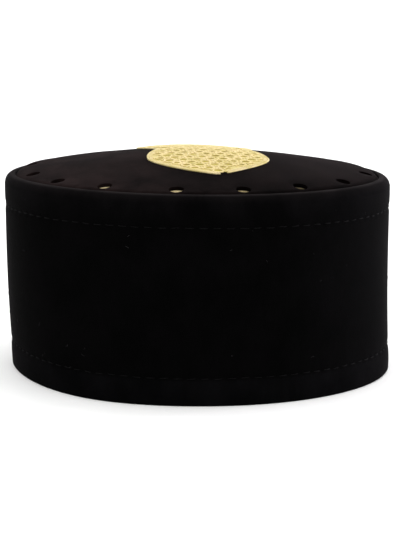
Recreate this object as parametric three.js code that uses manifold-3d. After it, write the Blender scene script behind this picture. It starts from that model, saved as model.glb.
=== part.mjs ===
// A drum-shaped velvet cap. A stiff side band with a rolled lip carries a shallow domed crown, which has
// a ring of punched vent holes over a gold under-layer and a gold lace motif laid on its middle.
// Millimetres, +Z up. The origin is the middle of the foot edge, on the surface that the cap rests on,
// and the front of the cap faces -Y.
import * as THREE from 'three';
import { mergeVertices } from 'three/addons/utils/BufferGeometryUtils.js';
import Module from 'manifold-3d';

const wasm = await Module();
wasm.setup();

// Driving dimensions
const RIM_RADIUS = 93; // outer face of the band where the shoulder starts
const FOOT_RADIUS = 92; // outer face of the band at its foot
const BAND_HEIGHT = 93.4; // foot to the top of the lip
const BAND_WALL = 2.6; // velvet over its stiff backing
const CROWN_RISE = 11.5; // top of the lip to the peak of the velvet
const CROWN_WALL = 1.2;
const LINING_WALL = 1;
const PATCH_WALL = 1.2;
const SEAM_GAP = 0.3; // clearance between two pieces that are sewn together

// Band details
const SHOULDER_ROUND = 4.2;
const LIP_ROUND = 0.9;
const LIP_WIDTH = 1.1; // flat top of the lip, inside the shoulder's round
const LIP_INNER_RADIUS = RIM_RADIUS - SHOULDER_ROUND - LIP_WIDTH;
const FLANGE_DEPTH = 3.4; // how far the turned-in edge reaches down beside the crown
const FOOT_ROUND = 0.8;
const BAND_SEGMENTS = 64;

// Swell of the outer face beyond its straight taper, with a row for each level that is pinched or full
const BAND_LEVELS = [
  { place: 'hem', z: 6.5, swell: 0.3 },
  { place: 'hem stitching', z: 12.5, swell: -0.2 },
  { place: 'lower wall', z: 20, swell: 0.05 },
  { place: 'middle', z: 46, swell: 0.1 },
  { place: 'upper wall', z: 70, swell: 0.05 },
  { place: 'rim stitching', z: 77.4, swell: -0.2 },
  { place: 'under the shoulder', z: 85, swell: 0.05 },
];

// Crown details
const CROWN_RADIUS = LIP_INNER_RADIUS - SEAM_GAP;
const CROWN_FULLNESS = 1.9; // 1 would be a cone and 2 a parabola
const CROWN_EDGE_ROUND = 0.6;
const CROWN_RINGS = 7;
const CROWN_SEGMENTS = 64;
const LINING_SEGMENTS = 48;
const PATCH_RINGS = 5;
const PATCH_SEGMENTS = 32;
const HOLE_RADIUS = 3.3;
const HOLE_RING_RADIUS = 81.5;
const HOLE_PHASE = THREE.MathUtils.degToRad(-6.6); // first hole, measured from the front
const HOLE_SIDES = 16;
// Degrees that each hand-punched hole strays from an even spacing, from the first hole round to the right
const HOLE_STRAYS = [
  0.4, 0.1, -1.2, -1.6, 2.5, 0.6, -0.8, 0.9,
  -0.3, -1, 0.7, 0.2, -0.9, -3, -0.5, -1.9, -2.2,
];
const CUTTER_LENGTH = 4 * CROWN_RISE; // upright cutters reach well past both faces of the dome

// Gold motif: two pointed lobes that meet at a waist over the peak
const MOTIF = {
  waist: 21,
  halfWidth: 28.3,
  widestAt: 27,
  tipAt: 60.5,
  tipHalfWidth: 1.2,
  fullTo: 1.39, // how far the flank runs straight on past its widest place, as a share of that place
  flankLean: { across: 0.41, along: 0.925 }, // pull on the flank's curve, as a share of width and length
  turn: THREE.MathUtils.degToRad(7.5),
  offsetX: 2,
};
const MOTIF_STEPS = { shoulder: 4, flank: 8 };

const velvetBand = new THREE.MeshStandardMaterial({ color: 0x0c0a0c, roughness: 0.95, metalness: 0 });
const velvetCrown = new THREE.MeshStandardMaterial({ color: 0x1a1616, roughness: 0.95, metalness: 0 });
const goldCloth = new THREE.MeshStandardMaterial({ color: 0xd2b25a, roughness: 0.6, metalness: 0.3 });
const goldLace = new THREE.MeshStandardMaterial({ color: 0xe9d59a, roughness: 0.5, metalness: 0.3 });

// Height of the crown's upper face at a distance from the axis
function crownHeight(radius) {
  return BAND_HEIGHT + CROWN_RISE * (1 - (radius / CROWN_RADIUS) ** CROWN_FULLNESS);
}

function bandRadius(z) {
  return THREE.MathUtils.mapLinear(z, 0, BAND_HEIGHT - SHOULDER_ROUND, FOOT_RADIUS, RIM_RADIUS);
}

// Points of a rising arc in the plane of a profile, both ends included
function arc(centreR, centreZ, radius, fromAngle, toAngle, steps) {
  return new THREE.EllipseCurve(centreR, centreZ, radius, radius, fromAngle, toAngle).getPoints(steps);
}

// Keeps only the shared positions, so that the faces of a geometry close up
function welded(geometry) {
  geometry.deleteAttribute('normal');
  geometry.deleteAttribute('uv');
  return mergeVertices(geometry, 1e-4);
}

// Turns a closed profile about the Z axis
function turned(profile, segments) {
  const geometry = new THREE.LatheGeometry(profile, segments);
  geometry.rotateX(Math.PI / 2);
  return welded(geometry);
}

function solidOf(geometry) {
  const mesh = new wasm.Mesh({
    numProp: 3,
    vertProperties: new Float32Array(geometry.attributes.position.array),
    triVerts: new Uint32Array(geometry.index.array),
  });
  return new wasm.Manifold(mesh);
}

function geometryOf(solid) {
  const mesh = solid.getMesh();
  const geometry = new THREE.BufferGeometry();
  geometry.setAttribute('position', new THREE.BufferAttribute(mesh.vertProperties, 3));
  geometry.setIndex(new THREE.BufferAttribute(mesh.triVerts, 1));
  return geometry;
}

// One layer of the dome between two offsets above the crown's upper face, out to a radius
function domeLayer(top, bottom, radius, edgeRound, rings, segments) {
  const profile = [];
  const fullRadius = radius - edgeRound;
  for (let ring = 0; ring <= rings; ring += 1) {
    const r = (fullRadius * ring) / rings;
    profile.push(new THREE.Vector2(r, crownHeight(r) + bottom));
  }
  profile.push(new THREE.Vector2(radius, crownHeight(radius) + bottom));
  profile.push(new THREE.Vector2(radius, crownHeight(radius) + top - edgeRound));
  for (let ring = rings; ring >= 0; ring -= 1) {
    const r = (fullRadius * ring) / rings;
    profile.push(new THREE.Vector2(r, crownHeight(r) + top));
  }
  return turned(profile, segments);
}

// Drum wall: rounded foot, pinched and swelling outer face, shoulder, rolled lip and plain inner face
function sideBand() {
  const quarter = Math.PI / 2;
  const innerFoot = FOOT_RADIUS - BAND_WALL;
  const innerTop = RIM_RADIUS - BAND_WALL;
  const shoulderZ = BAND_HEIGHT - SHOULDER_ROUND;
  const flangeZ = BAND_HEIGHT - FLANGE_DEPTH;
  const flangeRun = innerTop - LIP_INNER_RADIUS;
  const lipR = LIP_INNER_RADIUS + LIP_ROUND;
  const outerFoot = arc(FOOT_RADIUS - FOOT_ROUND, FOOT_ROUND, FOOT_ROUND, -quarter, 0, 2);
  const outerFace = BAND_LEVELS.map(({ z, swell }) => new THREE.Vector2(bandRadius(z) + swell, z));
  const shoulder = arc(RIM_RADIUS - SHOULDER_ROUND, shoulderZ, SHOULDER_ROUND, 0, quarter, 5);
  const lip = arc(lipR, BAND_HEIGHT - LIP_ROUND, LIP_ROUND, quarter, 2 * quarter, 2);
  const innerFace = [
    new THREE.Vector2(LIP_INNER_RADIUS, flangeZ),
    new THREE.Vector2(innerTop, flangeZ - flangeRun),
    new THREE.Vector2(innerFoot, FOOT_ROUND),
    new THREE.Vector2(innerFoot + FOOT_ROUND, 0),
  ];
  const profile = [...outerFoot, ...outerFace, ...shoulder, ...lip, ...innerFace, outerFoot[0].clone()];
  return turned(profile, BAND_SEGMENTS);
}

// Upright peg that punches one vent hole, at an angle measured from the front
function holePeg(angle) {
  const peg = new THREE.CylinderGeometry(HOLE_RADIUS, HOLE_RADIUS, CUTTER_LENGTH, HOLE_SIDES);
  peg.rotateX(Math.PI / 2);
  peg.translate(
    HOLE_RING_RADIUS * Math.sin(angle),
    -HOLE_RING_RADIUS * Math.cos(angle),
    crownHeight(HOLE_RING_RADIUS),
  );
  return welded(peg);
}

function crownTop() {
  const disc = domeLayer(0, -CROWN_WALL, CROWN_RADIUS, CROWN_EDGE_ROUND, CROWN_RINGS, CROWN_SEGMENTS);
  let crown = solidOf(disc);
  HOLE_STRAYS.forEach((stray, hole) => {
    const evenAngle = HOLE_PHASE + (2 * Math.PI * hole) / HOLE_STRAYS.length;
    crown = crown.subtract(solidOf(holePeg(evenAngle + THREE.MathUtils.degToRad(stray))));
  });
  return geometryOf(crown);
}

function crownLining() {
  const top = -CROWN_WALL - SEAM_GAP;
  const edge = CROWN_EDGE_ROUND / 2;
  return domeLayer(top, top - LINING_WALL, CROWN_RADIUS, edge, CROWN_RINGS, LINING_SEGMENTS);
}

// Plan of the motif: a quarter of its outline, waist to tip, mirrored into the other three
function motifPlan() {
  const { waist, halfWidth, widestAt, tipAt, tipHalfWidth, fullTo, flankLean } = MOTIF;
  const shoulder = new THREE.CubicBezierCurve(
    new THREE.Vector2(waist, 0),
    new THREE.Vector2(THREE.MathUtils.lerp(waist, halfWidth, 1 / 3), widestAt / 5),
    new THREE.Vector2(halfWidth, widestAt / 2),
    new THREE.Vector2(halfWidth, widestAt),
  );
  const flank = new THREE.CubicBezierCurve(
    new THREE.Vector2(halfWidth, widestAt),
    new THREE.Vector2(halfWidth, fullTo * widestAt),
    new THREE.Vector2(flankLean.across * halfWidth, flankLean.along * tipAt),
    new THREE.Vector2(tipHalfWidth, tipAt),
  );
  const shoulderPoints = shoulder.getPoints(MOTIF_STEPS.shoulder);
  const flankPoints = flank.getPoints(MOTIF_STEPS.flank).slice(1);
  const quarter = [...shoulderPoints, ...flankPoints];
  const backward = [...quarter].reverse();
  const mirrored = (points, signX, signY) => points.map((p) => new THREE.Vector2(p.x * signX, p.y * signY));
  return [
    ...quarter,
    ...mirrored(backward, -1, 1).slice(0, -1),
    ...mirrored(quarter, -1, -1),
    ...mirrored(backward, 1, -1).slice(0, -1),
  ];
}

// The motif is the part of a thin dome layer that lies inside its plan
function goldPatch() {
  const { tipAt, turn, offsetX } = MOTIF;
  const reach = tipAt + 2 * offsetX;
  const top = SEAM_GAP + PATCH_WALL;
  const layer = domeLayer(top, SEAM_GAP, reach, PATCH_WALL / 10, PATCH_RINGS, PATCH_SEGMENTS);
  const plan = new THREE.ExtrudeGeometry(new THREE.Shape(motifPlan()), {
    depth: CUTTER_LENGTH,
    bevelEnabled: false,
  });
  plan.rotateZ(turn);
  plan.translate(offsetX, 0, BAND_HEIGHT - CROWN_RISE);
  return geometryOf(solidOf(layer).intersect(solidOf(welded(plan))));
}

function piece(name, geometry, material) {
  const mesh = new THREE.Mesh(geometry, material);
  mesh.name = name;
  return mesh;
}

const cap = new THREE.Group();
cap.add(
  piece('side_band', sideBand(), velvetBand),
  piece('crown_top', crownTop(), velvetCrown),
  piece('crown_lining', crownLining(), goldCloth),
  piece('gold_patch', goldPatch(), goldLace),
);

export default cap;
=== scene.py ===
import math

import bpy
import numpy as np
from mathutils import Matrix, Vector
from mathutils.geometry import delaunay_2d_cdt


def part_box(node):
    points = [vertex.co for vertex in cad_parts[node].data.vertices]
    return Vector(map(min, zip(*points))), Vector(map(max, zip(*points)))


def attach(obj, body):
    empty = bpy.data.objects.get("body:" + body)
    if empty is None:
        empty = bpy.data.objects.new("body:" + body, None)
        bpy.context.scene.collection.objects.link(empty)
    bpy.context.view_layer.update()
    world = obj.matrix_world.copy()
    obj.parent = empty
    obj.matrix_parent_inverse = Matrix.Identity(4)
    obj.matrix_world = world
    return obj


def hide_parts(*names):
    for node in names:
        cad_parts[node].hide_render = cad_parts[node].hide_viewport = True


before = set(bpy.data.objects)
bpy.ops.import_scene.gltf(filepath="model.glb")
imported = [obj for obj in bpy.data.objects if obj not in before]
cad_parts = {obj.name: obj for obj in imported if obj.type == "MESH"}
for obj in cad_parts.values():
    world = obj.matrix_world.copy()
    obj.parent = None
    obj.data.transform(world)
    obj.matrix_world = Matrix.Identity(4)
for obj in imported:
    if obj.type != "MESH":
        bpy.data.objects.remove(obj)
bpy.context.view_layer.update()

MM = 0.001
BODY = "root"
rng = np.random.default_rng(7)

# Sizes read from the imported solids
BAND_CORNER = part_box("side_band")[1] / MM
CROWN_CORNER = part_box("crown_top")[1] / MM
RIM_RADIUS = BAND_CORNER.x
BAND_HEIGHT = BAND_CORNER.z
CROWN_RADIUS = CROWN_CORNER.x
CROWN_RISE = CROWN_CORNER.z - BAND_HEIGHT

# Sizes shared with the solids
FOOT_RADIUS = 92.0
BAND_WALL = 2.6
SEAM_GAP = 0.3
SHOULDER_ROUND = 4.2
SHOULDER_Z = BAND_HEIGHT - SHOULDER_ROUND
LIP_ROUND = 0.9
LIP_INNER_RADIUS = CROWN_RADIUS + SEAM_GAP
FLANGE_DEPTH = 3.4
FOOT_ROUND = 0.8
CROWN_FULLNESS = 1.9
LINING_WALL = 1.0
HOLE_RADIUS = 3.3
HOLE_RING_RADIUS = 81.5
HOLE_PHASE = math.radians(-6.6)
# Degrees that each hand-punched hole strays from an even spacing, from the first hole round to the right
HOLE_STRAYS = [
    0.4, 0.1, -1.2, -1.6, 2.5, 0.6, -0.8, 0.9,
    -0.3, -1.0, 0.7, 0.2, -0.9, -3.0, -0.5, -1.9, -2.2,
]
HOLE_COUNT = len(HOLE_STRAYS)
MOTIF = dict(waist=21.0, half_width=28.3, widest_at=27.0, tip_at=60.5, tip_half_width=1.2)
# Handles of the curve from the motif's widest place to its tip, as shares of those sizes
MOTIF_FULL_TO = 1.39
MOTIF_FLANK_LEAN = (0.41, 0.925)
MOTIF_TURN = math.radians(7.5)
MOTIF_OFFSET_X = 2.0

# Stitching. A pair is the range over the stitches
RIM_ROW_Z = BAND_HEIGHT - 14.3
HEM_ROW_Z = 12.5
STITCH_ROWS = [("stitches_rim", RIM_ROW_Z), ("stitches_hem", HEM_ROW_Z)]
STITCHES = 97
STITCH_PITCH = 2 * math.pi / STITCHES
STITCH_SHARE = 0.72  # of the pitch
STITCH_LENGTH = (0.9, 1.06)  # of the usual length
STITCH_SHIFT = (-0.03, 0.03)  # along the row, in pitches
STITCH_DRIFT = (-0.16, 0.16)  # of its middle from the row
STITCH_SLANT = (-0.14, 0.14)  # from its middle to an end
STITCH_RISE = (0.26, 0.35)
STITCH_SINK = 0.22  # of its ends into the cloth
STITCH_INSIDE_LIFT = 0.1
STITCH_TAPER = 0.35  # of the thread at its ends
STITCH_POINTS = 9
THREAD_RADIUS = 0.24
THREAD_SIZE = (0.9, 1.1)
THREAD_SIDES = 7
NEEDLE_PULL = 0.22
NEEDLE_SPREAD = 1.0

# Lean, bow and back seam of the soft wall
LEAN = 2.0
BOW = 0.5
BACK_SEAM_DEPTH = 0.45
BACK_SEAM_SPREAD = 1.3
# Fullness of the band's outer face: height, amount beyond the straight taper, spread
BAND_SWELLS = [
    (6.0, 0.30, 4.5),
    (HEM_ROW_Z, -0.40, 1.5),
    (46.0, 0.35, 42.0),
    (RIM_ROW_Z, -0.40, 1.5),
    (84.5, 0.10, 4.0),
]
# Places where the soft foot stands out of round: degrees from the front, amount, spread in degrees
FOOT_BULGES = [(-28.0, 2.6, 22.0), (-68.0, -1.0, 20.0), (74.0, 0.9, 22.0)]
FOOT_BULGE_HEIGHT = 30.0
# Slow unevenness of the stiffened cloth: lobes round the band, amount, turns over the height, phase
BAND_WAVES = [(2, 0.20, 0.3, 0.6), (3, 0.14, 0.5, 2.1), (5, 0.09, 0.8, 4.0), (9, 0.05, 1.7, 1.3)]
# Height over which the unevenness dies out at the foot and towards a level past the lip, and the least share
WAVE_FADE = 6.0
WAVE_FADE_PAST_LIP = 2.0
WAVE_AT_LIP = 0.2
# Mesh of the band: steps round it for each stitch, and points along each stretch of its profile
STEPS_PER_STITCH = 5
FOOT_ROWS = 5
FACE_ROWS = 96
SHOULDER_ROWS = 14
LIP_ROWS = 7
FLANGE_ROWS = 4
INSIDE_ROWS = 24
HEM_ROWS = 3

# Cloth of the crown, its fullness inside the seam and the groove at the seam
CROWN_CLOTH = 1.9
CROWN_SWELL = 1.6
CROWN_SWELL_POWER = 8
GROOVE_WIDTH = 3.0
GROOVE_DEPTH = 1.1
# Places where the crown's edge stands fuller or flatter: degrees from the front, amount, spread in degrees
EDGE_SWELLS = [(-101.0, 0.55, 9.0), (-62.0, -0.7, 20.0)]
# Slow unevenness of the crown: waves across, amount, direction, phase
CROWN_WAVES = [(1.6, 0.22, 0.4, 0.9), (2.3, 0.16, 1.9, 2.0), (3.7, 0.10, 2.8, 5.1), (5.5, 0.05, 1.1, 3.3)]
CROWN_WAVE_FADE = 14.0
# One shallow dent of the crown: middle, amount, spread
DENT_MIDDLE = (28.0, 20.0)
DENT_DEPTH = 1.0
DENT_SPREAD = 16.0
# Soft dimple round each vent hole, and the rolled edge of the hole
DIMPLE_DEPTH = 0.12
DIMPLE_REACH = 2.4
HOLE_ROLL_DEPTH = 0.14
HOLE_ROLL_REACH = 0.5
# Mesh of the crown: the zone that holds the vent holes, steps over each hole's share of it, rings elsewhere
HOLE_ZONE_INNER = HOLE_RING_RADIUS - 7.0
HOLE_ZONE_OUTER = CROWN_RADIUS - 0.8
SECTOR_ACROSS = 12
SECTOR_ALONG = 10
SECTOR_RINGS = 11
SECTOR_CROWDING = 1.7  # of the rings towards the hole
MIDDLE_RINGS = 34
EDGE_RINGS = 4

# Under-layer: how far it lies below the crown's upper face, its tilt and its mesh
LINING_DROP = 2.3
LINING_INSET = 2.4  # of its edge from the crown's
LINING_TILT = 0.35
LINING_TILT_TURN = math.radians(130)
LINING_RINGS = 36
LINING_SIDES = 160
# Places where the under-layer hangs lower: degrees from the front, amount, spread in degrees
LINING_SAGS = [(-51.0, 0.8, 10.0), (14.5, 0.32, 8.0), (34.5, 0.60, 9.0)]
LINING_SAG_POWER = 4


def unit(vectors):
    """The same directions with a length of 1."""
    return vectors / np.linalg.norm(vectors, axis=-1, keepdims=True)


def ring_point(radius, angle, z):
    """Points at a distance from the axis and an angle from the front."""
    return np.stack(np.broadcast_arrays(radius * np.sin(angle), -radius * np.cos(angle), z), axis=-1)


def arc(centre_r, centre_z, radius, start, end, steps):
    """Profile points of an arc between two angles in quarter turns."""
    angles = np.linspace(start, end, steps) * math.pi / 2
    return np.stack([centre_r + radius * np.cos(angles), centre_z + radius * np.sin(angles)], axis=1)


def line(start, end, steps):
    """Points of a straight stretch."""
    return np.linspace(start, end, steps)


def hills(at, places):
    """Sum of smooth hills along a line: middle, amount and spread of each."""
    return sum(amount * np.exp(-(((at - middle) / spread) ** 2)) for middle, amount, spread in places)


def wrapped(angle):
    """The same angle between minus and plus half a turn."""
    return (angle + math.pi) % (2 * math.pi) - math.pi


def bearing(x, y):
    """Degrees from the front to a plan point."""
    return np.degrees(np.arctan2(x, -y))


def grid_faces(rows, columns, wrap_rows=False, wrap_columns=False):
    """Quads over a grid of points listed row by row."""
    i, j = np.meshgrid(
        np.arange(rows if wrap_rows else rows - 1),
        np.arange(columns if wrap_columns else columns - 1),
        indexing="ij",
    )
    i2, j2 = (i + 1) % rows, (j + 1) % columns
    corners = [i * columns + j, i * columns + j2, i2 * columns + j2, i2 * columns + j]
    return np.stack([corner.ravel() for corner in corners], axis=1).tolist()


def joined(parts):
    """One list of points and faces from several."""
    points, faces, start = [], [], 0
    for part_points, part_faces in parts:
        points.append(part_points)
        faces += [[index + start for index in face] for face in part_faces]
        start += len(part_points)
    return np.concatenate(points), faces


def welded(points, faces, digits=4):
    """Shares equal points, and drops the corners and faces that this makes equal."""
    _, first, inverse = np.unique(np.round(points, digits), axis=0, return_index=True, return_inverse=True)
    inverse = inverse.ravel()
    kept = []
    for face in faces:
        corners = list(dict.fromkeys(inverse[index] for index in face))
        if len(corners) > 2:
            kept.append(corners)
    return points[first], kept


def facing_up(points, faces):
    """The same faces, listed so that each faces up."""
    turned = []
    for face in faces:
        a, b, c = (points[index] for index in face[:3])
        rising = (b[0] - a[0]) * (c[1] - a[1]) - (b[1] - a[1]) * (c[0] - a[0]) > 0
        turned.append(face if rising else face[::-1])
    return turned


def sweep(path, up, radius, sides, closed=False, flat=1.0):
    """Tube along a path. up gives the upright, which flat presses down, and open ends are capped."""
    ahead = np.roll(path, -1, axis=0) - np.roll(path, 1, axis=0)
    if not closed:
        ahead[0], ahead[-1] = path[1] - path[0], path[-1] - path[-2]
    across = unit(np.cross(ahead, up))
    upright = flat * unit(np.cross(across, ahead))
    turn = np.linspace(0, 2 * math.pi, sides, endpoint=False)
    radius = np.broadcast_to(np.asarray(radius, float), len(path))[:, None, None]
    circle = across[:, None] * np.cos(turn)[None, :, None] - upright[:, None] * np.sin(turn)[None, :, None]
    points = (path[:, None] + radius * circle).reshape(-1, 3)
    faces = grid_faces(len(path), sides, wrap_rows=closed, wrap_columns=True)
    if not closed:
        faces.append(list(range(sides))[::-1])
        faces.append(list(range(len(points) - sides, len(points))))
    return points, faces


def leaning(points):
    """The soft wall's slight lean and bow: its foot stands a little to the right of its rim."""
    share = points[:, 2] / BAND_HEIGHT
    shift = LEAN * (0.5 - share) - BOW * np.sin(math.pi * np.clip(share, 0, 1))
    return points + shift[:, None] * (1, 0, 0)


def mesh_piece(name, points, faces, materials, replaces=None, face_material=None):
    """A smooth mesh object that rides on the cap."""
    mesh = bpy.data.meshes.new(name)
    mesh.from_pydata((leaning(points) * MM).tolist(), [], faces)
    for material in materials:
        mesh.materials.append(material)
    mesh.polygons.foreach_set("use_smooth", [True] * len(mesh.polygons))
    if face_material is not None:
        mesh.polygons.foreach_set("material_index", face_material)
    mesh.validate()
    mesh.update()
    piece = bpy.data.objects.new(name, mesh)
    bpy.context.scene.collection.objects.link(piece)
    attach(piece, BODY)
    if replaces:
        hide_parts(replaces)
    return piece


def thicken(piece, thickness):
    """Gives a sheet its thickness on the lower side."""
    solidify = piece.modifiers.new("thickness", "SOLIDIFY")
    solidify.thickness = thickness * MM
    solidify.offset = -1
    solidify.use_even_offset = True


# Materials

NOISE_ROUGHNESS = 0.55
# Phase of a wave texture for each unit of scaled length, in radians
WAVE_PHASE = 20.0
# Places of a mix node's colour sockets
MIX_FACTOR, MIX_FIRST, MIX_SECOND, MIX_RESULT = 0, 6, 7, 2
# Velvet: sizes of the brushed nap, its streaks and the pile, their stretch by axis, and the streaks' share
NAP_SIZE = 19.0
NAP_STRETCH = (1.2, 0.8, 1.0)
STREAK_SIZE = 3.2
STREAK_STRETCH = (1.0, 1.0, 0.45)
STREAK_SHARE = 0.3
STREAK_BUMP_SHARE = 0.35
PILE_SIZE = 0.42


class Shader:
    """A node material round one Principled BSDF, with helpers for procedural texture."""

    def __init__(self, name, **constants):
        self.material = bpy.data.materials.new(name)
        self.material.use_nodes = True
        self.nodes = self.material.node_tree.nodes
        self.links = self.material.node_tree.links
        self.bsdf = self.nodes["Principled BSDF"]
        for socket, value in constants.items():
            self.bsdf.inputs[socket.replace("_", " ")].default_value = value
        self.position = self.nodes.new("ShaderNodeTexCoord").outputs["Object"]

    def put(self, socket, output):
        """Feeds a socket of the BSDF."""
        self.links.new(output, self.bsdf.inputs[socket])

    def stretched(self, scale):
        """Object coordinates scaled by axis."""
        mapping = self.nodes.new("ShaderNodeMapping")
        mapping.inputs["Scale"].default_value = scale
        self.links.new(self.position, mapping.inputs["Vector"])
        return mapping.outputs["Vector"]

    def noise(self, size_mm, detail=3.0, vector=None):
        """Noise whose blotches are about size_mm across."""
        node = self.nodes.new("ShaderNodeTexNoise")
        node.inputs["Scale"].default_value = 1 / (size_mm * MM)
        node.inputs["Detail"].default_value = detail
        node.inputs["Roughness"].default_value = NOISE_ROUGHNESS
        self.links.new(vector or self.position, node.inputs["Vector"])
        return node.outputs["Fac"]

    def along(self, axis, low_mm, high_mm):
        """From 0 to 1 between two places along an axis."""
        parts = self.nodes.new("ShaderNodeSeparateXYZ")
        share = self.nodes.new("ShaderNodeMapRange")
        share.interpolation_type = "SMOOTHSTEP"
        share.inputs["From Min"].default_value = low_mm * MM
        share.inputs["From Max"].default_value = high_mm * MM
        self.links.new(self.position, parts.inputs["Vector"])
        self.links.new(parts.outputs[axis], share.inputs["Value"])
        return share.outputs["Result"]

    def wave(self, pitch_mm, direction, distortion=0.0):
        """Parallel threads at a pitch."""
        node = self.nodes.new("ShaderNodeTexWave")
        node.bands_direction = direction
        node.inputs["Scale"].default_value = 2 * math.pi / WAVE_PHASE / (pitch_mm * MM)
        node.inputs["Distortion"].default_value = distortion
        node.inputs["Detail"].default_value = 1.0
        self.links.new(self.position, node.inputs["Vector"])
        return node.outputs["Fac"]

    def ramp(self, factor, stops):
        """Colour or grey value along a factor."""
        node = self.nodes.new("ShaderNodeValToRGB")
        elements = node.color_ramp.elements
        while len(elements) < len(stops):
            elements.new(0.5)
        for element, (place, colour) in zip(elements, stops):
            element.position = place
            element.color = (*colour, 1) if isinstance(colour, tuple) else (colour, colour, colour, 1)
        self.links.new(factor, node.inputs["Fac"])
        return node.outputs["Color"]

    def mix(self, kind, factor, first, second):
        """Blend of two colours or heights, by a constant or by another output."""
        node = self.nodes.new("ShaderNodeMix")
        node.data_type = "RGBA"
        node.blend_type = kind
        if isinstance(factor, float):
            node.inputs[MIX_FACTOR].default_value = factor
        else:
            self.links.new(factor, node.inputs[MIX_FACTOR])
        self.links.new(first, node.inputs[MIX_FIRST])
        self.links.new(second, node.inputs[MIX_SECOND])
        return node.outputs[MIX_RESULT]

    def bump(self, height, strength, depth_mm):
        """Fine relief on the surface."""
        node = self.nodes.new("ShaderNodeBump")
        node.inputs["Strength"].default_value = strength
        node.inputs["Distance"].default_value = depth_mm * MM
        self.links.new(height, node.inputs["Height"])
        self.put("Normal", node.outputs["Normal"])


def velvet(name, deep, brushed, sheen, sheen_width, sheen_tint, edges=(), side_shade=None):
    """Short black pile: dark straight on, pale at grazing angles, mottled where the nap is brushed.

    edges gives two tones and two heights for each paler band, whose tone blends in from the first height to
    the second, as painted light on the hem, shoulder and lip; a ramp from left to right, if given, darkens
    the tone as painted shade.
    """
    shader = Shader(
        name,
        Specular_IOR_Level=0.01,
        Sheen_Weight=sheen,
        Sheen_Roughness=sheen_width,
        Sheen_Tint=(*sheen_tint, 1),
    )
    nap = shader.noise(NAP_SIZE, detail=1.5, vector=shader.stretched(NAP_STRETCH))
    streaks = shader.noise(STREAK_SIZE, detail=3, vector=shader.stretched(STREAK_STRETCH))
    pile = shader.noise(PILE_SIZE, detail=2)
    mottled = shader.mix("MIX", STREAK_SHARE, nap, streaks)
    tone = shader.ramp(mottled, [(0.38, deep), (0.63, brushed)])
    # Paler bands that blend in by height: painted light from the floor on the hem, and from above on the
    # shoulder and lip
    for edge_deep, edge_brushed, start, end in edges:
        paler_tone = shader.ramp(mottled, [(0.36, edge_deep), (0.66, edge_brushed)])
        tone = shader.mix("MIX", shader.along("Z", start, end), tone, paler_tone)
    # Painted shade: a ramp across the crown darkens its tone from left to right
    if side_shade:
        side_shading = shader.ramp(shader.along("X", -RIM_RADIUS, RIM_RADIUS), side_shade)
        tone = shader.mix("MULTIPLY", 1.0, tone, side_shading)
    shader.put("Base Color", tone)
    shader.put("Roughness", shader.ramp(pile, [(0.3, 0.82), (0.7, 1.0)]))
    relief = shader.mix("MIX", STREAK_BUMP_SHARE, pile, streaks)
    shader.bump(relief, strength=0.55, depth_mm=0.35)
    return shader.material


def inner_cloth():
    """Plain black twill on the inside of the band."""
    shader = Shader("inner_cloth", Specular_IOR_Level=0.12, Sheen_Weight=0.05, Sheen_Roughness=0.6)
    twill = shader.wave(0.9, "DIAGONAL", distortion=0.6)
    tone = shader.mix("MIX", 0.4, shader.noise(9), twill)
    shader.put("Base Color", shader.ramp(tone, [(0.3, (0.010, 0.009, 0.010)), (0.7, (0.024, 0.022, 0.024))]))
    shader.put("Roughness", shader.ramp(twill, [(0.2, 0.78), (0.8, 0.95)]))
    shader.bump(twill, strength=0.5, depth_mm=0.15)
    return shader.material


def black_thread():
    """Black polyester sewing thread, a little glossier than the pile."""
    shader = Shader("black_thread", Specular_IOR_Level=0.02)
    ply = shader.noise(0.5, detail=2)
    tones = [(0.3, (0.0015, 0.0015, 0.0015)), (0.7, (0.0050, 0.0047, 0.0050))]
    shader.put("Base Color", shader.ramp(ply, tones))
    shader.put("Roughness", shader.ramp(ply, [(0.3, 0.55), (0.7, 0.75)]))
    shader.bump(ply, strength=0.4, depth_mm=0.08)
    return shader.material


def gold(name, shade, light, thread_mm):
    """Metallic yarn: tone and gloss vary by thread and in soft patches."""
    shader = Shader(name, Metallic=0.1, Specular_IOR_Level=0.3, Sheen_Weight=0.05, Sheen_Roughness=0.35)
    threads = shader.noise(thread_mm, detail=2)
    patches = shader.noise(7, detail=3)
    tone = shader.mix("MIX", 0.65, threads, patches)
    shader.put("Base Color", shader.ramp(tone, [(0.38, shade), (0.60, light)]))
    shader.put("Roughness", shader.ramp(threads, [(0.3, 0.38), (0.7, 0.62)]))
    shader.bump(threads, strength=0.5, depth_mm=0.12)
    return shader.material


def gold_cloth():
    """Plain woven gold cloth of the under-layer."""
    shader = Shader("gold_cloth", Metallic=0.25, Specular_IOR_Level=0.4, Sheen_Weight=0.1)
    weft, warp = shader.wave(0.55, "X"), shader.wave(0.55, "Y")
    weave = shader.mix("MIX", 0.5, weft, warp)
    tone = shader.mix("MIX", 0.5, weave, shader.noise(11))
    shader.put("Base Color", shader.ramp(tone, [(0.3, (0.78, 0.60, 0.27)), (0.7, (0.94, 0.79, 0.46))]))
    shader.put("Roughness", shader.ramp(weave, [(0.2, 0.40), (0.8, 0.60)]))
    shader.bump(weave, strength=0.5, depth_mm=0.15)
    return shader.material


def lint_fibre():
    """Dark grey fibre, paler than the pile."""
    shader = Shader("lint_fibre", Specular_IOR_Level=0.2, Roughness=0.8)
    tone = shader.noise(0.8)
    shader.put("Base Color", shader.ramp(tone, [(0.3, (0.008, 0.007, 0.008)), (0.7, (0.035, 0.032, 0.035))]))
    return shader.material


def pale_floor():
    """Plain, nearly white floor."""
    shader = Shader("pale_floor", Specular_IOR_Level=0.15)
    grain = shader.noise(40, detail=2)
    shader.put("Base Color", shader.ramp(grain, [(0.3, (0.93, 0.93, 0.925)), (0.7, (0.95, 0.95, 0.945))]))
    shader.put("Roughness", shader.ramp(grain, [(0.3, 0.80), (0.7, 0.88)]))
    return shader.material
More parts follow.
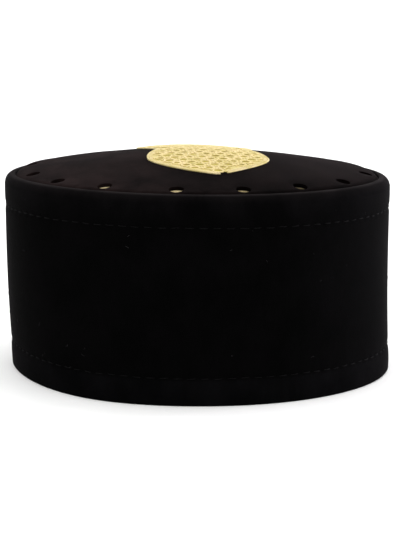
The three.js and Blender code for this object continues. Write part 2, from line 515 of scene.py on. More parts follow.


# Paler tones at the band's turned edges: two tones each, and the two heights between which the paler tone
# blends in. On the hem they are painted light from the floor, on the shoulder and lip painted light from
# above; above the upper row the wall is simply paler.
HEM_FLOOR_LIGHT = ((0.0011, 0.0011, 0.0012), (0.0024, 0.0023, 0.0026), HEM_ROW_Z + 0.5, HEM_ROW_Z - 2.0)
RIM_EDGE = ((0.0011, 0.0010, 0.0011), (0.0024, 0.0022, 0.0024), RIM_ROW_Z + 1.0, BAND_HEIGHT - 2.5)
SHOULDER_TOP_LIGHT = ((0.0021, 0.0018, 0.0019), (0.0042, 0.0035, 0.0037), BAND_HEIGHT - 4.2, BAND_HEIGHT - 0.3)
LIP_TOP_LIGHT = ((0.0055, 0.0045, 0.0047), (0.0125, 0.0105, 0.0108), BAND_HEIGHT - 0.8, BAND_HEIGHT - 0.1)
VELVET_BAND = velvet(
    "velvet_band",
    deep=(0.0008, 0.0008, 0.0008),
    brushed=(0.0013, 0.0012, 0.0013),
    sheen=0.018,
    sheen_width=0.17,
    sheen_tint=(1.0, 0.88, 0.94),
    edges=[HEM_FLOOR_LIGHT, RIM_EDGE, SHOULDER_TOP_LIGHT, LIP_TOP_LIGHT],
)
# Crown velvet: the band's black pile with a browner tint, and a paler tone that is painted light from above
VELVET_CROWN_TOPLIT = velvet(
    "velvet_crown_toplit",
    deep=(0.0022, 0.0014, 0.0014),
    brushed=(0.0116, 0.0074, 0.0072),
    sheen=0.0130,
    sheen_width=0.33,
    sheen_tint=(1.0, 0.69, 0.71),
    # Painted shade, from full tone on the left to darker on the right
    side_shade=[(0.08, 1.0), (0.42, 0.45), (1.0, 0.18)],
)
INNER_CLOTH = inner_cloth()
BLACK_THREAD = black_thread()
GOLD_CLOTH = gold_cloth()
GOLD_BASE = gold("gold_base", shade=(0.45, 0.36, 0.08), light=(0.58, 0.46, 0.14), thread_mm=0.6)
# Darker gold of the eyelet floors: painted shade in the sunk eyelets
GOLD_EYELET_SHADE = gold("gold_eyelet_shade", shade=(0.37, 0.30, 0.04), light=(0.48, 0.39, 0.06), thread_mm=0.6)
GOLD_LACE = gold("gold_lace", shade=(0.54, 0.44, 0.14), light=(0.69, 0.55, 0.26), thread_mm=0.45)
GOLD_CORD = gold("gold_cord", shade=(0.55, 0.45, 0.15), light=(0.70, 0.58, 0.32), thread_mm=0.45)
LINT = lint_fibre()


# Band


def straight_radius(z):
    """Radius of the straight taper at a height."""
    return np.interp(z, [0, SHOULDER_Z], [FOOT_RADIUS, RIM_RADIUS])


def band_radius(z):
    """Radius of the band's outer face at a height, before its slow waves."""
    return straight_radius(z) + hills(z, BAND_SWELLS)


def band_wave(angle, z):
    """Slow unevenness of the wall, the pull of each needle hole, and the closing seam at the back."""
    share = z / BAND_HEIGHT
    wave = sum(amount * np.sin(lobes * angle + turns * math.pi * share + phase)
               for lobes, amount, turns, phase in BAND_WAVES)
    needle = 0.5 + 0.5 * np.cos(STITCHES * angle)
    pull = needle * hills(z, [(row, NEEDLE_PULL, NEEDLE_SPREAD) for _, row in STITCH_ROWS])
    from_back = (math.pi - np.abs(wrapped(angle))) * RIM_RADIUS
    return wave - pull - hills(from_back, [(0, BACK_SEAM_DEPTH, BACK_SEAM_SPREAD)])


def foot_bulge(angle, z):
    """How far the wall stands out of round near its foot."""
    return hills(np.degrees(wrapped(angle)), FOOT_BULGES) * np.exp(-((z / FOOT_BULGE_HEIGHT) ** 2))


def band_surface(angle, z, lift=0.0):
    """Points on the band's outer face, or at a height above it."""
    return ring_point(band_radius(z) + band_wave(angle, z) + foot_bulge(angle, z) + lift, angle, z)


def band_profile():
    """Closed profile of the wall from the foot up, with the stretch that each point belongs to."""
    inner_top, inner_foot = RIM_RADIUS - BAND_WALL, FOOT_RADIUS - BAND_WALL
    flange_z = BAND_HEIGHT - FLANGE_DEPTH
    lip_z = BAND_HEIGHT - LIP_ROUND
    face_z = np.linspace(FOOT_ROUND, SHOULDER_Z, FACE_ROWS)
    under_flange = (inner_top, flange_z - (inner_top - LIP_INNER_RADIUS))
    stretches = [
        ("foot", arc(FOOT_RADIUS - FOOT_ROUND, FOOT_ROUND, FOOT_ROUND, -1, -0.1, FOOT_ROWS)),
        ("face", np.stack([band_radius(face_z), face_z], axis=1)),
        ("lip", arc(RIM_RADIUS - SHOULDER_ROUND, SHOULDER_Z, SHOULDER_ROUND, 0.06, 1, SHOULDER_ROWS)),
        ("lip", arc(LIP_INNER_RADIUS + LIP_ROUND, lip_z, LIP_ROUND, 1, 2, LIP_ROWS)),
        ("lip", line((LIP_INNER_RADIUS, lip_z), (LIP_INNER_RADIUS, flange_z), FLANGE_ROWS)[1:]),
        ("inside", line((LIP_INNER_RADIUS, flange_z), under_flange, FLANGE_ROWS)[1:]),
        ("inside", line(under_flange, (inner_foot, FOOT_ROUND), INSIDE_ROWS)[1:]),
        ("inside", line((inner_foot, FOOT_ROUND), (inner_foot + FOOT_ROUND, 0), HEM_ROWS)[1:]),
    ]
    names = [name for name, points in stretches for _ in points]
    return np.concatenate([points for _, points in stretches]), names


def make_band():
    """Velvet wall with its lip, and plain cloth on its inside."""
    profile, names = band_profile()
    angles = np.linspace(0, 2 * math.pi, STITCHES * STEPS_PER_STITCH, endpoint=False)
    angle, radius = np.meshgrid(angles, profile[:, 0])
    z = np.broadcast_to(profile[:, 1:], radius.shape)
    outside = np.array([name in ("face", "lip") for name in names])[:, None]
    foot_fade = np.clip(z / WAVE_FADE, 0, 1)
    lip_fade = np.clip((BAND_HEIGHT + WAVE_FADE_PAST_LIP - z) / WAVE_FADE, WAVE_AT_LIP, 1)
    radius = radius + outside * foot_fade * lip_fade * band_wave(angle, z) + foot_bulge(angle, z)
    points = ring_point(radius, angle, z).reshape(-1, 3)
    faces = grid_faces(len(profile), len(angles), wrap_rows=True, wrap_columns=True)
    row_material = np.array([name == "inside" for name in names], int)
    face_material = np.repeat(row_material, len(angles))
    cloths = [VELVET_BAND, INNER_CLOTH]
    mesh_piece("band_velvet", points, faces, cloths, "side_band", face_material)


def stitch(angle, z, inside):
    """One stitch: a short thread that rises out of the cloth and dives back into it."""
    reach = 0.5 * STITCH_PITCH * STITCH_SHARE * rng.uniform(*STITCH_LENGTH)
    along = np.linspace(-1, 1, STITCH_POINTS)
    angles = angle + reach * along + STITCH_PITCH * rng.uniform(*STITCH_SHIFT)
    heights = z + rng.uniform(*STITCH_DRIFT) + along * rng.uniform(*STITCH_SLANT)
    rise = (1 - along**4) * rng.uniform(*STITCH_RISE) - STITCH_SINK
    if inside:
        wall = straight_radius(heights) - BAND_WALL + foot_bulge(angles, heights)
        path = ring_point(wall - rise - STITCH_INSIDE_LIFT, angles, heights)
    else:
        path = band_surface(angles, heights, rise)
    thread = THREAD_RADIUS * rng.uniform(*THREAD_SIZE) * (1 - STITCH_TAPER * along**6)
    return sweep(path, ring_point(1.0, angles, 0.0), thread, THREAD_SIDES)


def make_stitches():
    """Both rows of stitches, each with its outer and its inner side."""
    for name, z in STITCH_ROWS:
        for side, inside in (("", False), ("_inside", True)):
            row = [stitch((index + 0.5) * STITCH_PITCH, z, inside) for index in range(STITCHES)]
            points, faces = joined(row)
            mesh_piece(name + side, points, faces, [BLACK_THREAD])


# Crown


def crown_height(x, y):
    """Height of the crown's smooth upper face over a plan point."""
    radius = np.minimum(np.hypot(x, y), CROWN_RADIUS)
    return BAND_HEIGHT + CROWN_RISE * (1 - (radius / CROWN_RADIUS) ** CROWN_FULLNESS)


def crown_normal(x, y):
    """Upright of the smooth dome over a plan point."""
    step = 0.01
    slope_x = (crown_height(x + step, y) - crown_height(x - step, y)) / (2 * step)
    slope_y = (crown_height(x, y + step) - crown_height(x, y - step)) / (2 * step)
    return unit(np.stack([-slope_x, -slope_y, np.ones_like(slope_x)], axis=-1))


def crown_wave(x, y):
    """Slow dents of the crown, which die out at its seam."""
    wave = 0.0
    for waves, amount, way, phase in CROWN_WAVES:
        across = x * math.cos(way) + y * math.sin(way)
        wave = wave + amount * np.sin(waves * math.pi * across / CROWN_RADIUS + phase)
    from_dent = np.hypot(x - DENT_MIDDLE[0], y - DENT_MIDDLE[1])
    dent = hills(from_dent, [(0, DENT_DEPTH, DENT_SPREAD)])
    return (wave - dent) * np.clip((CROWN_RADIUS - np.hypot(x, y)) / CROWN_WAVE_FADE, 0, 1)


def crown_swell(x, y):
    """Fullness just inside the seam, which grows towards the back and is uneven on the left."""
    radius = np.maximum(np.hypot(x, y), 1e-6)
    share = (np.minimum(radius, CROWN_RADIUS) / CROWN_RADIUS) ** CROWN_SWELL_POWER
    hump = 4 * share * (1 - share)
    backwards = 0.5 * (1 + y / radius)
    return hump * (CROWN_SWELL * backwards + hills(bearing(x, y), EDGE_SWELLS))


def dome(x, y):
    """Height of the velvet's upper face over a plan point, without its holes and its turned-down edge."""
    return crown_height(x, y) + crown_wave(x, y) + crown_swell(x, y)


EVEN_ANGLES = HOLE_PHASE + 2 * math.pi * np.arange(HOLE_COUNT) / HOLE_COUNT
HOLE_CENTRES = ring_point(HOLE_RING_RADIUS, EVEN_ANGLES + np.radians(HOLE_STRAYS), 0.0)[:, :2]


def hole_distance(x, y):
    """Distance from the edge of the nearest vent hole."""
    gaps = [np.hypot(x - centre[0], y - centre[1]) for centre in HOLE_CENTRES]
    return np.min(gaps, axis=0) - HOLE_RADIUS


def crown_surface(plan):
    """The velvet's upper face, with a soft dimple round each hole and a turned-down edge."""
    x, y = plan[:, 0], plan[:, 1]
    gap = np.maximum(hole_distance(x, y), 0)
    dimple = hills(gap, [(0, DIMPLE_DEPTH, DIMPLE_REACH)])
    roll = HOLE_ROLL_DEPTH * np.clip(1 - gap / HOLE_ROLL_REACH, 0, 1) ** 2
    edge = np.clip((np.hypot(x, y) - CROWN_RADIUS + GROOVE_WIDTH) / GROOVE_WIDTH, 0, 1)
    return np.stack([x, y, dome(x, y) - dimple - roll - GROOVE_DEPTH * edge**2], axis=1)


def polar_grid(radii, angles):
    """Plan grid of rings, with its quads."""
    radius, angle = np.meshgrid(radii, angles, indexing="ij")
    plan = ring_point(radius, angle, 0.0)[..., :2].reshape(-1, 2)
    return plan, grid_faces(len(radii), len(angles), wrap_columns=True)


def hole_sector(angle, centre):
    """Quads between one vent hole and the four sides of its share of the zone of holes."""
    half = math.pi / HOLE_COUNT
    inner, outer = HOLE_ZONE_INNER, HOLE_ZONE_OUTER
    sides = [
        line((-half, inner), (half, inner), SECTOR_ACROSS + 1),
        line((half, inner), (half, outer), SECTOR_ALONG + 1),
        line((half, outer), (-half, outer), SECTOR_ACROSS + 1),
        line((-half, outer), (-half, inner), SECTOR_ALONG + 1),
    ]
    loop = np.concatenate([side[:-1] for side in sides])
    border = ring_point(loop[:, 1], angle + loop[:, 0], 0.0)[:, :2]
    circle = centre + HOLE_RADIUS * unit(border - centre)
    share = (np.linspace(0, 1, SECTOR_RINGS + 1) ** SECTOR_CROWDING)[:, None, None]
    plan = circle + share * (border - circle)
    return plan.reshape(-1, 2), grid_faces(SECTOR_RINGS + 1, len(loop), wrap_columns=True)


def make_crown():
    """Velvet disc with its vent holes."""
    columns = HOLE_COUNT * SECTOR_ACROSS
    angles = HOLE_PHASE - math.pi / HOLE_COUNT + 2 * math.pi * np.arange(columns) / columns
    sheets = [hole_sector(angle, centre) for angle, centre in zip(EVEN_ANGLES, HOLE_CENTRES)]
    sheets.append(polar_grid(np.linspace(0, HOLE_ZONE_INNER, MIDDLE_RINGS), angles))
    sheets.append(polar_grid(np.linspace(HOLE_ZONE_OUTER, CROWN_RADIUS, EDGE_RINGS), angles))
    plan, faces = welded(*joined(sheets))
    faces = facing_up(plan, faces)
    points = crown_surface(plan)
    piece = mesh_piece("crown_velvet", points, faces, [VELVET_CROWN_TOPLIT], "crown_top")
    thicken(piece, CROWN_CLOTH)


def make_lining():
    """Gold cloth under the crown, which shows through the vent holes."""
    radii = np.linspace(0, CROWN_RADIUS - LINING_INSET, LINING_RINGS)
    angles = 2 * math.pi * np.arange(LINING_SIDES) / LINING_SIDES
    plan, faces = welded(*polar_grid(radii, angles))
    faces = facing_up(plan, faces)
    x, y = plan[:, 0], plan[:, 1]
    across = x * math.cos(LINING_TILT_TURN) - y * math.sin(LINING_TILT_TURN)
    outwards = (np.hypot(x, y) / CROWN_RADIUS) ** LINING_SAG_POWER
    sag = outwards * hills(bearing(x, y), LINING_SAGS)
    z = dome(x, y) - LINING_DROP + LINING_TILT * across / CROWN_RADIUS - sag
    points = np.stack([x, y, z], axis=1)
    piece = mesh_piece("lining_gold", points, faces, [GOLD_CLOTH], "crown_lining")
    thicken(piece, LINING_WALL)


# Gold motif. A pair is the range over the eyelets, threads or knots

OUTLINE_STEPS = dict(shoulder=14, flank=30)
PATCH_TOP = 0.34
PATCH_SHEET = 0.25
PATCH_STEP = 0.9  # between points of the sheet's edge
PATCH_RIMS = (0.7, 1.2, 2.0)  # insets of the sheet's edge and of two loops inside it
PATCH_EDGE_DROP = 0.3
PATCH_EDGE_ROUND = 1.6
NOTCH_DEPTH = 2.2
TRIANGLES_INSIDE = 1
TRIANGLE_SLACK = 1e-4

LACE_PITCH = 6.5
LACE_WANDER = 0.5  # of an eyelet from its even place
EYELET_RADIUS = (1.55, 2.15)
EYELET_MARGIN = 1.7  # between an eyelet and the outline
EYELET_SIDES = 18
EYELET_DEPTH = 0.22
EYELET_FLOOR_SHARE = 0.82
# How far inside an eyelet's edge the ground lies on its floor, and takes the floor's darker gold, which is
# painted shade
FLOOR_MARGIN = 0.1
COLOUR_MARGIN = 0.05

LACE_THREAD = 0.58
LACE_FLAT = 0.6
LACE_WRAPS = 24
POINTS_PER_WRAP = 3
WRAP_RIPPLE = 0.17
RING_OUTSET = 0.6  # of a ring from its eyelet's edge, in radii of its thread
RING_SQUASH = (0.94, 1.05)
RING_LIFT = (0.008, 0.138)
FINE_SIDES = 6  # of the finer threads

BAR_THREAD = 0.27
BAR_FLAT = 0.7
BAR_SPREAD = (-0.55, 0.0, 0.55)
BAR_STRAY = (-0.08, 0.08)
BAR_RISE = 0.10
BAR_LIFT = (0.0, 0.05)
BAR_POINTS = 6
BAR_START = 0.4  # from an eyelet's edge, in radii of its thread
BAR_LONGEST = 1.3  # between the middles of two eyelets, in pitches
BAR_MARGIN = 1.4  # between a bar's middle and the outline

KNOT_RADIUS = 0.38
KNOT_SIZE = (0.85, 1.15)
KNOT_LIFT = 0.3  # in radii of the knot, as is its thread
KNOT_THREAD = 0.8
KNOT_POINTS = 12
KNOT_CLEARANCE = 1.3  # from the nearest eyelet's edge
KNOT_SPACING = 2.0
KNOT_MARGIN = 1.9  # between a knot and the outline

BORDER_PITCH = 0.95
BORDER_THREAD = 0.3
BORDER_START = 0.5  # from the outline
BORDER_REACH = (1.9, 2.6)
BORDER_SINK = 0.1
BORDER_RISE = 0.12
BORDER_POINTS = 6

CORD_PLY = 0.28
CORD_LAY = 0.8  # from the cord's middle to a ply's, in radii of the ply
CORD_LIFT = 0.22
CORD_TWIST = 2.6  # length of one turn
CORD_STEP = 0.32
CORD_GAP_STEPS = 11  # left open at the front tip
CORD_SIDES = 8


def bezier(points, steps):
    """Points of a cubic curve."""
    t = np.linspace(0, 1, steps)[:, None]
    a, b, c, d = (np.array(p, float) for p in points)
    return (1 - t) ** 3 * a + 3 * t * (1 - t) ** 2 * b + 3 * t**2 * (1 - t) * c + t**3 * d


def motif_outline():
    """Closed plan outline in the motif's own frame, from the front tip round: a quarter, mirrored."""
    waist, wide, widest = MOTIF["waist"], MOTIF["half_width"], MOTIF["widest_at"]
    tip, blunt = MOTIF["tip_at"], MOTIF["tip_half_width"]
    shoulder = [(waist, 0), ((2 * waist + wide) / 3, widest / 5), (wide, widest / 2), (wide, widest)]
    lean_across, lean_along = MOTIF_FLANK_LEAN
    flank = [
        (wide, widest),
        (wide, MOTIF_FULL_TO * widest),
        (lean_across * wide, lean_along * tip),
        (blunt, tip),
    ]
    start, end = bezier(shoulder, OUTLINE_STEPS["shoulder"]), bezier(flank, OUTLINE_STEPS["flank"])
    quarter = np.concatenate([start[:-1], end])
    return np.concatenate([
        quarter[::-1] * (1, -1),
        quarter[1:],
        quarter[::-1] * (-1, 1),
        (quarter * (-1, -1))[1:],
    ])


def motif_place(plan):
    """From the motif's own frame to the cap's."""
    c, s = math.cos(MOTIF_TURN), math.sin(MOTIF_TURN)
    return plan @ np.array([[c, s], [-s, c]]) + (MOTIF_OFFSET_X, 0)


def on_crown(plan, lift):
    """Points at a height above the velvet."""
    x, y = plan[:, 0], plan[:, 1]
    return np.stack([x, y, dome(x, y) + lift], axis=-1)


def laid_thread(plan, lift, radius, sides, closed=False, flat=1.0):
    """Thread along a line in the motif's own frame, at a height above the velvet."""
    place = motif_place(plan)
    return sweep(on_crown(place, lift), crown_normal(place[:, 0], place[:, 1]), radius, sides, closed, flat)


def inwards_from(outline):
    """Direction into the closed outline at each of its points."""
    ahead = unit(np.roll(outline, -1, axis=0) - np.roll(outline, 1, axis=0))
    return np.stack([-ahead[:, 1], ahead[:, 0]], axis=1)


def inset(outline, amount):
    """The closed outline moved inwards, with a small notch at the right of its front tip."""
    moved = outline + amount * inwards_from(outline)
    notch = NOTCH_DEPTH + amount - MOTIF["tip_at"]
    return np.where((moved[:, :1] > 0) & (moved[:, 1:] < notch), moved * (1, 0) + (0, notch), moved)


def travelled(path):
    """Distance from the start of a line to each of its points."""
    return np.concatenate([[0], np.cumsum(np.linalg.norm(np.diff(path, axis=0), axis=1))])


def evenly(outline, spacing):
    """Points at an even spacing round the closed outline."""
    path = np.concatenate([outline, outline[:1]])
    lengths = travelled(path)
    places = np.linspace(0, lengths[-1], int(lengths[-1] / spacing))[:-1]
    return np.stack([np.interp(places, lengths, path[:, axis]) for axis in (0, 1)], axis=1)


def inside_by(outline, point):
    """Distance of a plan point from the outline, negative outside it."""
    ends = np.roll(outline, -1, axis=0)
    run = ends - outline
    share = np.clip(((point - outline) * run).sum(1) / np.maximum((run**2).sum(1), 1e-9), 0, 1)
    distance = np.linalg.norm(outline + share[:, None] * run - point, axis=1).min()
    above = (outline[:, 1] > point[1]) != (ends[:, 1] > point[1])
    rise = np.where(run[:, 1] == 0, 1e-9, run[:, 1])
    crossings = above & (point[0] < outline[:, 0] + (point[1] - outline[:, 1]) / rise * run[:, 0])
    return distance if crossings.sum() % 2 else -distance


def eyelet_gap(points, eyelets):
    """Distance of each plan point from the edge of the nearest eyelet, negative inside it."""
    distance = np.linalg.norm(points[:, None] - eyelets[None, :, :2], axis=2)
    return (distance - eyelets[:, 2]).min(axis=1)


def eyelet_rows(outline):
    """Staggered rows of eyelets as far as the outline has room for them: centre and radius of each."""
    row_pitch = LACE_PITCH * math.sqrt(3) / 2
    rows = int(MOTIF["tip_at"] / row_pitch) + 1
    columns = int(MOTIF["half_width"] / LACE_PITCH) + 2
    eyelets = []
    for row in range(-rows, rows + 1):
        for column in range(-columns, columns + 1):
            stagger = 0.5 * (row % 2)
            wander = rng.uniform(-LACE_WANDER, LACE_WANDER, 2)
            centre = np.array([(column + stagger) * LACE_PITCH, row * row_pitch]) + wander
            radius = rng.uniform(*EYELET_RADIUS)
            if inside_by(outline, centre) > radius + EYELET_MARGIN:
                eyelets.append((*centre, radius))
    return np.array(eyelets)


def make_patch_base(outline, eyelets):
    """Gold ground of the lace: a thin sheet with sunk eyelets, rounded down at its edge, with painted shade
    on the eyelet floors.
    """
    turn = np.linspace(0, 2 * math.pi, EYELET_SIDES, endpoint=False)
    circle = np.stack([np.cos(turn), np.sin(turn)], axis=1)
    even = evenly(outline, PATCH_STEP)
    rims = [inset(even, amount) for amount in PATCH_RIMS]
    loops = rims + [
        eyelet[:2] + share * eyelet[2] * circle for eyelet in eyelets for share in (1.0, EYELET_FLOOR_SHARE)
    ]
    edges, start = [], 0
    for loop in loops:
        edges += [(start + index, start + (index + 1) % len(loop)) for index in range(len(loop))]
        start += len(loop)
    flat = [Vector(point) for point in np.concatenate(loops)]
    border = list(range(len(rims[0])))
    plan, _, triangles, *_ = delaunay_2d_cdt(flat, edges, [border], TRIANGLES_INSIDE, TRIANGLE_SLACK)
    plan = np.array(plan)
    faces = [list(face) for face in triangles]
    from_edge = np.array([inside_by(outline, point) for point in plan])
    rounding = PATCH_EDGE_DROP * np.clip(1 - from_edge / PATCH_EDGE_ROUND, 0, 1) ** 2
    sunk = eyelet_gap(plan, eyelets) < -FLOOR_MARGIN
    points = on_crown(motif_place(plan), PATCH_TOP - rounding - EYELET_DEPTH * sunk)
    middles = plan[np.array(faces)].mean(axis=1)
    # Faces on the eyelet floors take the darker gold, painted shade in the recesses
    in_eyelet = (eyelet_gap(middles, eyelets) < -COLOUR_MARGIN).astype(int)
    faces = facing_up(points, faces)
    golds = [GOLD_BASE, GOLD_EYELET_SHADE]
    piece = mesh_piece("patch_base", points, faces, golds, "gold_patch", in_eyelet)
    thicken(piece, PATCH_SHEET)


def lace_ring(eyelet):
    """Wrapped edge of one eyelet: a flat ring of thread that lies on the ground."""
    turn = np.linspace(0, 2 * math.pi, POINTS_PER_WRAP * LACE_WRAPS, endpoint=False)
    squash = rng.uniform(*RING_SQUASH)
    tilt = rng.uniform(0, math.pi)
    centre, radius = eyelet[:2], eyelet[2] + RING_OUTSET * LACE_THREAD
    across, along = radius * squash * np.cos(turn), radius / squash * np.sin(turn)
    c, s = math.cos(tilt), math.sin(tilt)
    plan = centre + np.stack([c * across - s * along, s * across + c * along], axis=1)
    lift = PATCH_TOP + rng.uniform(*RING_LIFT)
    wrap = LACE_THREAD * (1 + WRAP_RIPPLE * np.cos(LACE_WRAPS * turn))
    return laid_thread(plan, lift, wrap, THREAD_SIDES, closed=True, flat=LACE_FLAT)


def make_lace(eyelets):
    """Wrapped edges of all eyelets."""
    points, faces = joined([lace_ring(eyelet) for eyelet in eyelets])
    mesh_piece("patch_lace", points, faces, [GOLD_LACE])


def lace_bar(start, end):
    """Bundle of threads that spans the ground between two eyelets."""
    along = np.linspace(0, 1, BAR_POINTS)[:, None]
    run = end - start
    side = np.array([-run[1], run[0]]) / np.linalg.norm(run)
    threads = []
    for spread in BAR_SPREAD:
        plan = start + along * run + (spread + rng.uniform(*BAR_STRAY)) * side
        lift = PATCH_TOP + BAR_RISE * np.sin(math.pi * along[:, 0]) + rng.uniform(*BAR_LIFT)
        threads.append(laid_thread(plan, lift, BAR_THREAD, FINE_SIDES, flat=BAR_FLAT))
    return joined(threads)


def make_bars(outline, eyelets):
    """Bars between each eyelet and its neighbours."""
    bars = []
    for index, first in enumerate(eyelets):
        for second in eyelets[index + 1:]:
            run = second[:2] - first[:2]
            length = np.linalg.norm(run)
            middle = 0.5 * (first[:2] + second[:2])
            if length < BAR_LONGEST * LACE_PITCH and inside_by(outline, middle) > BAR_MARGIN:
                way = run / length
                start = first[:2] + (first[2] + BAR_START * LACE_THREAD) * way
                end = second[:2] - (second[2] + BAR_START * LACE_THREAD) * way
                bars.append(lace_bar(start, end))
    points, faces = joined(bars)
    mesh_piece("patch_bars", points, faces, [GOLD_LACE])


def knot(centre):
    """Small wound knot in the ground between three eyelets."""
    turn = np.linspace(0, 2 * math.pi, KNOT_POINTS, endpoint=False)
    size = KNOT_RADIUS * rng.uniform(*KNOT_SIZE)
    plan = centre + size * np.stack([np.cos(turn), np.sin(turn)], axis=1)
    return laid_thread(plan, PATCH_TOP + KNOT_LIFT * size, KNOT_THREAD * size, FINE_SIDES, closed=True)


def make_knots(outline, eyelets):
    """Knots that fill the ground wherever the eyelets leave room.

    They are tried at the six places round each eyelet that lie between it and two neighbours.
    """
    spread = LACE_PITCH / math.sqrt(3)
    ways = np.radians(np.arange(30, 390, 60))
    steps = spread * np.stack([np.cos(ways), np.sin(ways)], axis=1)
    spots = [eyelet[:2] + step for eyelet in eyelets for step in steps]
    kept = []
    for spot in spots:
        clear = eyelet_gap(spot[None], eyelets)[0] > KNOT_CLEARANCE
        apart = all(np.linalg.norm(other - spot) > KNOT_SPACING for other in kept)
        if clear and apart and inside_by(outline, spot) > KNOT_MARGIN:
            kept.append(spot)
    points, faces = joined([knot(spot) for spot in kept])
    mesh_piece("patch_knots", points, faces, [GOLD_LACE])


def border_stitch(start, inwards):
    """One overcast stitch that holds the edge of the ground."""
    along = np.linspace(0, 1, BORDER_POINTS)
    reach = BORDER_START + (rng.uniform(*BORDER_REACH) - BORDER_START) * along
    lift = PATCH_TOP - BORDER_SINK + BORDER_RISE * np.sin(math.pi * along)
    return laid_thread(start + reach[:, None] * inwards, lift, BORDER_THREAD, FINE_SIDES)


def make_border(outline):
    """Overcast stitches side by side round the ground, which leave out the gap at the front tip."""
    even = evenly(outline, BORDER_PITCH)
    inwards = inwards_from(even)
    skipped = round(CORD_GAP_STEPS * CORD_STEP / BORDER_PITCH) + 1
    stitches = [border_stitch(start, way) for start, way in zip(even[skipped:], inwards[skipped:])]
    points, faces = joined(stitches)
    mesh_piece("patch_border", points, faces, [GOLD_CORD])


def make_cord(outline):
    """Two-ply cord that lies round the motif, whose ends meet with a small gap at the front tip."""
    path = motif_place(evenly(outline, CORD_STEP)[CORD_GAP_STEPS:])
    centre = on_crown(path, CORD_LIFT)
    normal = crown_normal(path[:, 0], path[:, 1])
    across = unit(np.cross(np.gradient(centre, axis=0), normal))
    twist = (2 * math.pi * travelled(centre) / CORD_TWIST)[:, None]
    plies = []
    for start in (0, math.pi):
        around = across * np.cos(twist + start) + normal * np.sin(twist + start)
        plies.append(sweep(centre + CORD_LAY * CORD_PLY * around, normal, CORD_PLY, CORD_SIDES))
    points, faces = joined(plies)
    mesh_piece("patch_cord", points, faces, [GOLD_CORD])


# Lint on the velvet. A pair is the range over the fibres

LINT_COUNT = 60
LINT_LOWEST = 10.0
LINT_LENGTH = (0.6, 1.8)
LINT_BEND = (-0.6, 0.6)
LINT_RADIUS = 0.05
LINT_POINTS = 6
LINT_SIDES = 4


def make_lint():
    """A few fine fibres caught in the pile of the band."""
    fibres = []
    for _ in range(LINT_COUNT):
        angle, z = rng.uniform(0, 2 * math.pi), rng.uniform(LINT_LOWEST, SHOULDER_Z)
        length, way, bend = rng.uniform(*LINT_LENGTH), rng.uniform(0, math.pi), rng.uniform(*LINT_BEND)
        along = np.linspace(-0.5, 0.5, LINT_POINTS)
        run = length * along
        sag = length * bend * (along**2 - 0.25)
        heights = z + run * math.sin(way) + sag * math.cos(way)
        angles = angle + (run * math.cos(way) - sag * math.sin(way)) / RIM_RADIUS
        path = band_surface(angles, heights, LINT_RADIUS)
        fibres.append(sweep(path, ring_point(1.0, angles, 0.0), LINT_RADIUS, LINT_SIDES))
    points, faces = joined(fibres)
    mesh_piece("lint", points, faces, [LINT])


# Stage

# Camera fitted to the cap's outline in the photograph
CAMERA_BACK = 802.3
CAMERA_HEIGHT = 180.9
CAMERA_RIGHT = 0.9
CAMERA_PITCH = math.radians(9.47)
CAMERA_ROLL = math.radians(0.6)
FOCAL_PIXELS = 1660.0
IMAGE_LONG_SIDE = 533.0
SENSOR = 36.0
# World light: its bright side, then two cosines of the angle from that side and the strengths at them
BRIGHT_SIDE = (0.3, 0.48, 0.82)
STUDIO_RANGE = (-0.6, 0.9, 0.45, 2.0)
# Floor and side light, in metres and watts
FLOOR_SIZE = 40.0
SIDE_LIGHT_PLACE = (0.95, 0.35, 0.08)
SIDE_LIGHT_SIZE = 0.16
SIDE_LIGHT_POWER = 6.0
SIDE_LIGHT_COLOUR = (0.92, 0.84, 1.0)


def make_camera():
    """Camera that sees the cap as the photograph does."""
    data = bpy.data.cameras.new("camera")
    data.sensor_width = SENSOR
    data.lens = FOCAL_PIXELS * SENSOR / IMAGE_LONG_SIDE
    camera = bpy.data.objects.new("camera", data)
    bpy.context.scene.collection.objects.link(camera)
    place = Matrix.Translation(Vector((CAMERA_RIGHT, -CAMERA_BACK, CAMERA_HEIGHT)) * MM)
    tilt = Matrix.Rotation(math.pi / 2 - CAMERA_PITCH, 4, "X")
    camera.matrix_world = place @ tilt @ Matrix.Rotation(CAMERA_ROLL, 4, "Z")
    bpy.context.scene.camera = camera


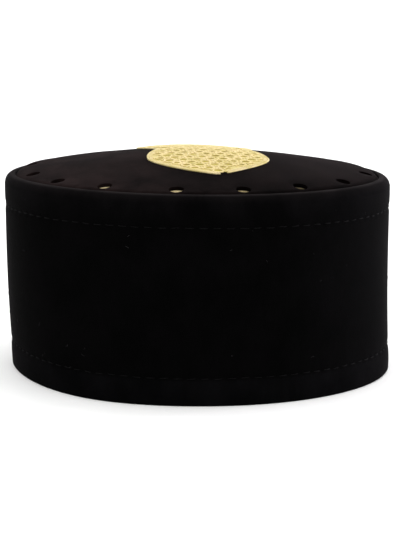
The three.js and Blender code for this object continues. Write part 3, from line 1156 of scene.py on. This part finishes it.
def side_light():
    """Small cool lamp that draws the pale right edge of the wall."""
    data = bpy.data.lights.new("right_side", "AREA")
    data.shape = "DISK"
    data.size = SIDE_LIGHT_SIZE
    data.energy = SIDE_LIGHT_POWER
    data.color = SIDE_LIGHT_COLOUR
    light = bpy.data.objects.new("right_side", data)
    bpy.context.scene.collection.objects.link(light)
    light.location = SIDE_LIGHT_PLACE
    wall_middle = Vector((0, 0, 0.5 * BAND_HEIGHT * MM))
    light.rotation_euler = (wall_middle - light.location).to_track_quat("-Z", "Y").to_euler()


def studio_world():
    """White studio light, brightest above, behind and to the right."""
    world = bpy.data.worlds.new("studio")
    world.use_nodes = True
    nodes, links = world.node_tree.nodes, world.node_tree.links
    direction = nodes.new("ShaderNodeTexCoord").outputs["Generated"]
    facing = nodes.new("ShaderNodeVectorMath")
    facing.operation = "DOT_PRODUCT"
    facing.inputs[1].default_value = BRIGHT_SIDE
    strength = nodes.new("ShaderNodeMapRange")
    for socket, value in zip(("From Min", "From Max", "To Min", "To Max"), STUDIO_RANGE):
        strength.inputs[socket].default_value = value
    links.new(direction, facing.inputs[0])
    links.new(facing.outputs["Value"], strength.inputs["Value"])
    nodes["Background"].inputs["Color"].default_value = (1, 1, 1, 1)
    links.new(strength.outputs["Result"], nodes["Background"].inputs["Strength"])
    return world


def make_stage():
    """Floor, world and lamp."""
    bpy.ops.mesh.primitive_plane_add(size=FLOOR_SIZE)
    floor = bpy.context.object
    floor.name = "floor"
    floor.data.materials.append(pale_floor())
    bpy.context.scene.world = studio_world()
    side_light()
    bpy.context.scene.view_settings.view_transform = "Standard"


make_camera()
make_band()
make_stitches()
make_crown()
make_lining()
MOTIF_OUTLINE = motif_outline()
EYELETS = eyelet_rows(MOTIF_OUTLINE)
make_patch_base(MOTIF_OUTLINE, EYELETS)
make_lace(EYELETS)
make_bars(MOTIF_OUTLINE, EYELETS)
make_knots(MOTIF_OUTLINE, EYELETS)
make_border(MOTIF_OUTLINE)
make_cord(MOTIF_OUTLINE)
make_lint()
make_stage()
